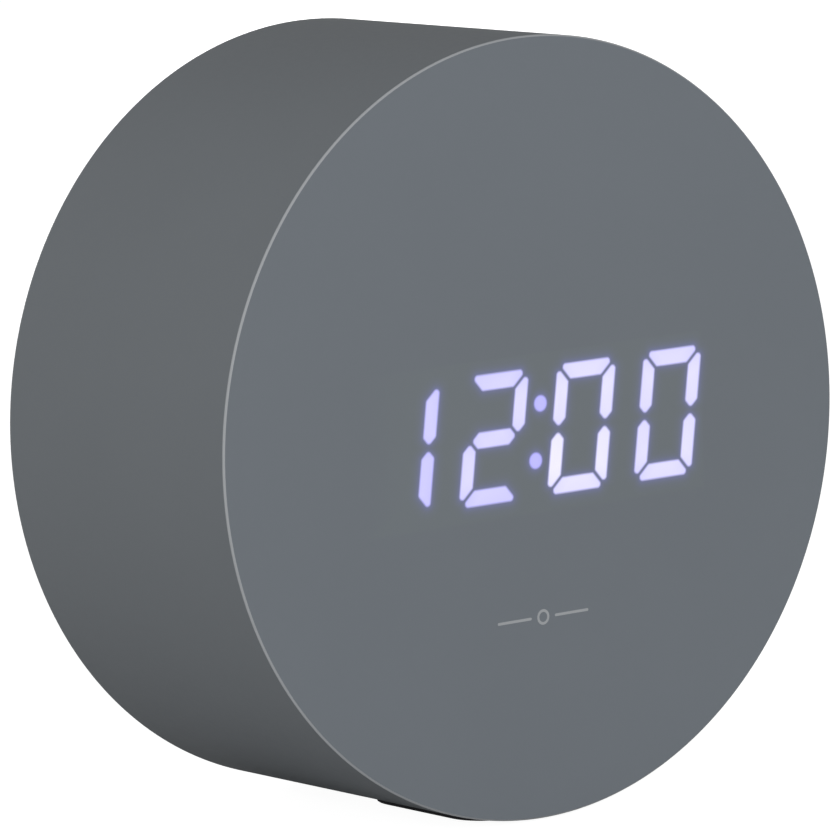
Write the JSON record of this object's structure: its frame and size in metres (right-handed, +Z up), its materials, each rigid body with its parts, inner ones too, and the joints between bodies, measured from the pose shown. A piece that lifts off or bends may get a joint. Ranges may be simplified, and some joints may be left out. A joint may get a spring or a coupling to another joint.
{
  "type": "digital alarm clock",
  "caption": "Round drum-shaped desk alarm clock that stands on edge, with a lit digit display behind a plain grey front.",
  "frame": {"origin": "centre of the footprint, on the surface that the rubber feet stand on", "axes": "the display faces -Y, +X is to the right as one faces it, and +Z is up; the drum's axis runs along Y"},
  "size_m": [0.12, 0.054, 0.1205],
  "materials": {
    "housing": "fine satin moulding, mid grey",
    "face_film": "smoked satin film, mid grey, thin bright edge",
    "rear_panel": "fine spark-eroded texture, darker grey",
    "button_caps": "satin, lighter grey",
    "foot_rubber": "matt soft rubber",
    "screws": "zinc plated",
    "reflector_white": "bright white moulding",
    "lit_segments": "milky light guide, lit cool white with a violet tint",
    "circuit_board": "green solder mask on glass fibre",
    "black_parts": "moulded black",
    "plated_metal": "nickel plated",
    "cell_wrap": "shrunk plastic sleeve",
    "ribbon": "grey vinyl",
    "red_wire": "red vinyl",
    "black_wire": "black vinyl"
  },
  "bodies": {
    "casing": {"aaa_cell_1": "cell_wrap", "aaa_cell_2": "cell_wrap", "aaa_cell_3": "cell_wrap", "alarm_switch_body": "black_parts", "black_battery_lead": "black_wire", "board_header": "black_parts", "board_screw_1": "screws", "board_screw_2": "screws", "board_screw_3": "screws", "board_screw_4": "screws", "brightness_switch": "black_parts", "buzzer": "black_parts", "colon_lens": "lit_segments", "controller_chip": "black_parts", "cover_screw_1": "screws", "cover_screw_2": "screws", "cover_screw_3": "screws", "cover_screw_4": "screws", "display_board": "circuit_board", "display_header": "black_parts", "display_reflector": "reflector_white", "display_screw_1": "screws", "display_screw_2": "screws", "display_screw_3": "screws", "display_screw_4": "screws", "down_switch": "black_parts", "front_film": "face_film", "front_foot": "foot_rubber", "front_shell": "housing", "hour_tens_lens": "lit_segments", "hour_units_lens": "lit_segments", "left_link_contact": "plated_metal", "main_board": "circuit_board", "minute_tens_lens": "lit_segments", "minute_units_lens": "lit_segments", "mode_switch": "black_parts", "negative_contact": "plated_metal", "positive_contact": "plated_metal", "quartz_crystal": "plated_metal", "rear_cover": "rear_panel", "rear_foot": "foot_rubber", "red_battery_lead": "red_wire", "ribbon_cable": "ribbon", "right_link_contact": "plated_metal", "up_switch": "black_parts", "usb_shell": "plated_metal", "usb_tongue": "black_parts", "vibration_sensor": "black_parts"},
    "brightness_key": {"brightness_button": "button_caps", "brightness_plunger": "black_parts"},
    "down_key": {"down_button": "button_caps", "down_plunger": "black_parts"},
    "up_key": {"up_button": "button_caps", "up_plunger": "black_parts"},
    "mode_key": {"mode_button": "button_caps", "mode_plunger": "black_parts"},
    "alarm_slider": {"alarm_switch_knob": "button_caps"},
    "door": {"battery_door": "rear_panel"}
  },
  "joints": [
    {"name": "brightness_press", "type": "slide", "parent": "casing", "child": "brightness_key", "axis": [0, -1, 0], "range_m": [0, 0.0005], "stiffness_N_per_m": 1500, "springref_m": -0.0002},
    {"name": "down_press", "type": "slide", "parent": "casing", "child": "down_key", "axis": [0, -1, 0], "range_m": [0, 0.0005], "stiffness_N_per_m": 1500, "springref_m": -0.0002},
    {"name": "up_press", "type": "slide", "parent": "casing", "child": "up_key", "axis": [0, -1, 0], "range_m": [0, 0.0005], "stiffness_N_per_m": 1500, "springref_m": -0.0002},
    {"name": "mode_press", "type": "slide", "parent": "casing", "child": "mode_key", "axis": [0, -1, 0], "range_m": [0, 0.0005], "stiffness_N_per_m": 1500, "springref_m": -0.0002},
    {"name": "alarm_slide", "type": "slide", "parent": "casing", "child": "alarm_slider", "axis": [1, 0, 0], "range_m": [0, 0.003]},
    {"name": "door_hinge", "type": "hinge", "parent": "casing", "child": "door", "pos_m": [0, 0.026, 0.059], "axis": [1, 0, 0], "range_deg": [0, 75]}
  ]
}
